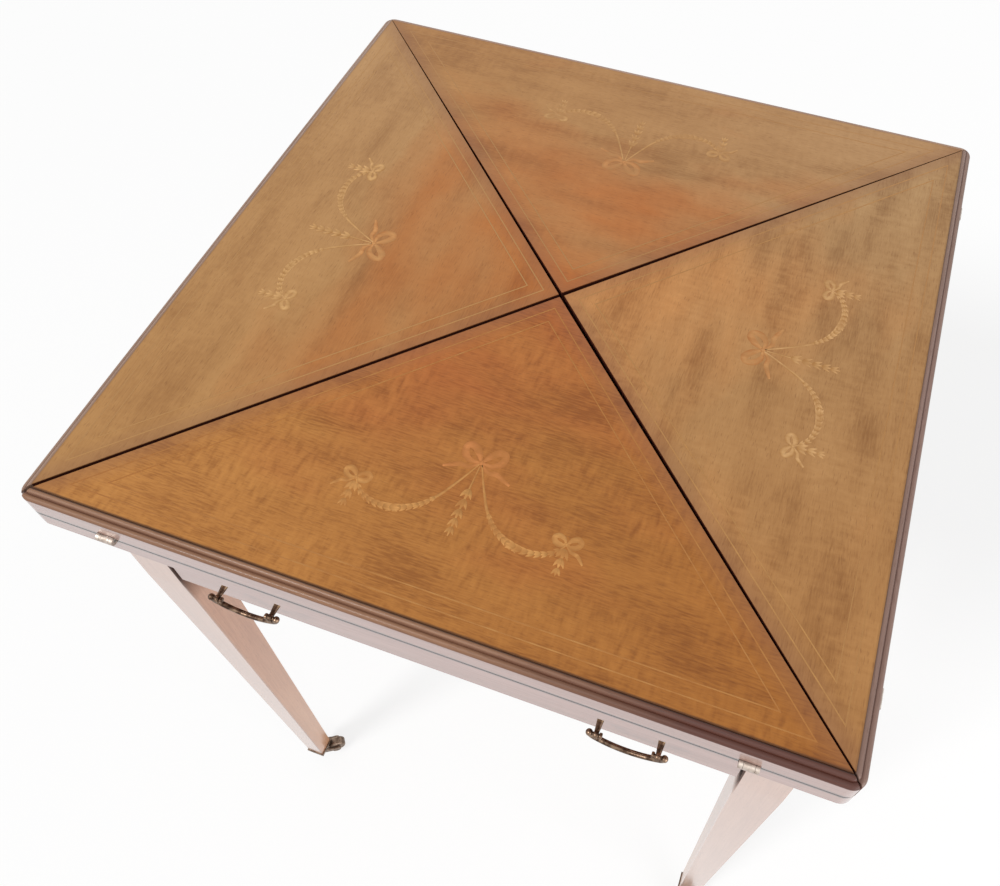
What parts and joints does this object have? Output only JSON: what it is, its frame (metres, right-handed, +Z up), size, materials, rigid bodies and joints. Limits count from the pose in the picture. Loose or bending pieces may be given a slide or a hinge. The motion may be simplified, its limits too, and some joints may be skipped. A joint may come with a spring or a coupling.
{
  "type": "envelope card table",
  "caption": "Square card table whose swivelling top of hinged triangular leaves folds out to a baize playing surface, over a frieze drawer and tapered legs on castors.",
  "frame": {"origin": "on the floor, under the middle of the closed top", "axes": "+Z up, the drawer pulls out towards -Y, +X to the right as seen from the drawer side"},
  "size_m": [0.568, 0.568, 0.725],
  "materials": {
    "top_veneer": "polished faded mahogany veneer with inlay",
    "dark_mahogany": "polished dark mahogany",
    "mahogany": "polished mahogany",
    "carcass_wood": "plain planed hardwood",
    "baize": "green woollen baize",
    "brass": "aged brass",
    "steel": "dull steel"
  },
  "bodies": {
    "frame": {"leg_front_left": "mahogany", "leg_front_right": "mahogany", "leg_back_left": "mahogany", "leg_back_right": "mahogany", "side_rail_left": "mahogany", "side_rail_right": "mahogany", "back_rail": "mahogany", "front_top_rail": "mahogany", "front_bottom_rail": "mahogany", "drawer_runners": "carcass_wood", "pivot_bearer": "carcass_wood", "pivot_bush": "brass", "castor_plates": "brass"},
    "top": {"tray_board": "dark_mahogany", "tray_lipping": "dark_mahogany", "tray_baize": "baize", "tray_hinge_straps": "brass", "tray_hinge_screws": "brass", "hinge_pins": "steel", "pivot_bolt": "steel", "pivot_washer": "steel", "pivot_nut": "steel", "stop_pin": "brass"},
    "leaf_front": {"leaf_panel_front": "top_veneer", "leaf_rim_front": "dark_mahogany", "leaf_baize_front": "baize", "leaf_hinge_straps_front": "brass", "leaf_hinge_screws_front": "brass"},
    "leaf_right": {"leaf_panel_right": "top_veneer", "leaf_rim_right": "dark_mahogany", "leaf_baize_right": "baize", "leaf_hinge_straps_right": "brass", "leaf_hinge_screws_right": "brass"},
    "leaf_back": {"leaf_panel_back": "top_veneer", "leaf_rim_back": "dark_mahogany", "leaf_baize_back": "baize", "leaf_hinge_straps_back": "brass", "leaf_hinge_screws_back": "brass"},
    "leaf_left": {"leaf_panel_left": "top_veneer", "leaf_rim_left": "dark_mahogany", "leaf_baize_left": "baize", "leaf_hinge_straps_left": "brass", "leaf_hinge_screws_left": "brass"},
    "drawer": {"drawer_front": "mahogany", "drawer_sides": "carcass_wood", "drawer_back": "carcass_wood", "drawer_bottom": "carcass_wood", "handle_posts": "brass", "handle_nuts": "brass"},
    "handle_left": {"handle_bail_left": "brass"},
    "handle_right": {"handle_bail_right": "brass"},
    "castor_front_left": {"castor_fork_front_left": "brass"},
    "wheel_front_left": {"castor_wheel_front_left": "brass"},
    "castor_front_right": {"castor_fork_front_right": "brass"},
    "wheel_front_right": {"castor_wheel_front_right": "brass"},
    "castor_back_left": {"castor_fork_back_left": "brass"},
    "wheel_back_left": {"castor_wheel_back_left": "brass"},
    "castor_back_right": {"castor_fork_back_right": "brass"},
    "wheel_back_right": {"castor_wheel_back_right": "brass"}
  },
  "joints": [
    {"name": "top_swivel", "type": "hinge", "parent": "frame", "child": "top", "pos_m": [0, 0, 0.6799], "axis": [0, 0, 1], "range_deg": [0, 45]},
    {"name": "leaf_front_hinge", "type": "hinge", "parent": "top", "child": "leaf_front", "pos_m": [0, -0.281, 0.7026], "axis": [1, 0, 0], "range_deg": [0, 180]},
    {"name": "leaf_right_hinge", "type": "hinge", "parent": "top", "child": "leaf_right", "pos_m": [0.281, 0, 0.7026], "axis": [0, 1, 0], "range_deg": [0, 180]},
    {"name": "leaf_back_hinge", "type": "hinge", "parent": "top", "child": "leaf_back", "pos_m": [0, 0.281, 0.7026], "axis": [-1, 0, 0], "range_deg": [0, 180]},
    {"name": "leaf_left_hinge", "type": "hinge", "parent": "top", "child": "leaf_left", "pos_m": [-0.281, 0, 0.7026], "axis": [0, -1, 0], "range_deg": [0, 180]},
    {"name": "drawer_slide", "type": "slide", "parent": "frame", "child": "drawer", "axis": [0, -1, 0], "range_m": [0, 0.24]},
    {"name": "handle_left_swing", "type": "hinge", "parent": "drawer", "child": "handle_left", "pos_m": [-0.144, -0.2725, 0.6239], "axis": [-1, 0, 0], "range_deg": [-40, 120]},
    {"name": "handle_right_swing", "type": "hinge", "parent": "drawer", "child": "handle_right", "pos_m": [0.144, -0.2725, 0.6239], "axis": [-1, 0, 0], "range_deg": [-40, 120]},
    {"name": "castor_front_left_swivel", "type": "hinge", "parent": "frame", "child": "castor_front_left", "pos_m": [-0.24, -0.24, 0.02], "axis": [0, 0, 1], "continuous": true},
    {"name": "wheel_front_left_spin", "type": "hinge", "parent": "castor_front_left", "child": "wheel_front_left", "pos_m": [-0.22582, -0.22892, 0.011], "axis": [-0.6157, 0.788, 0], "continuous": true},
    {"name": "castor_front_right_swivel", "type": "hinge", "parent": "frame", "child": "castor_front_right", "pos_m": [0.24, -0.24, 0.02], "axis": [0, 0, 1], "continuous": true},
    {"name": "wheel_front_right_spin", "type": "hinge", "parent": "castor_front_right", "child": "wheel_front_right", "pos_m": [0.24, -0.258, 0.011], "axis": [1, 0, 0], "continuous": true},
    {"name": "castor_back_left_swivel", "type": "hinge", "parent": "frame", "child": "castor_back_left", "pos_m": [-0.24, 0.24, 0.02], "axis": [0, 0, 1], "continuous": true},
    {"name": "wheel_back_left_spin", "type": "hinge", "parent": "castor_back_left", "child": "wheel_back_left", "pos_m": [-0.23155, 0.25589, 0.011], "axis": [-0.8829, 0.4695, 0], "continuous": true},
    {"name": "castor_back_right_swivel", "type": "hinge", "parent": "frame", "child": "castor_back_right", "pos_m": [0.24, 0.24, 0.02], "axis": [0, 0, 1], "continuous": true},
    {"name": "wheel_back_right_spin", "type": "hinge", "parent": "castor_back_right", "child": "wheel_back_right", "pos_m": [0.25739, 0.24466, 0.011], "axis": [-0.2588, 0.9659, 0], "continuous": true}
  ]
}
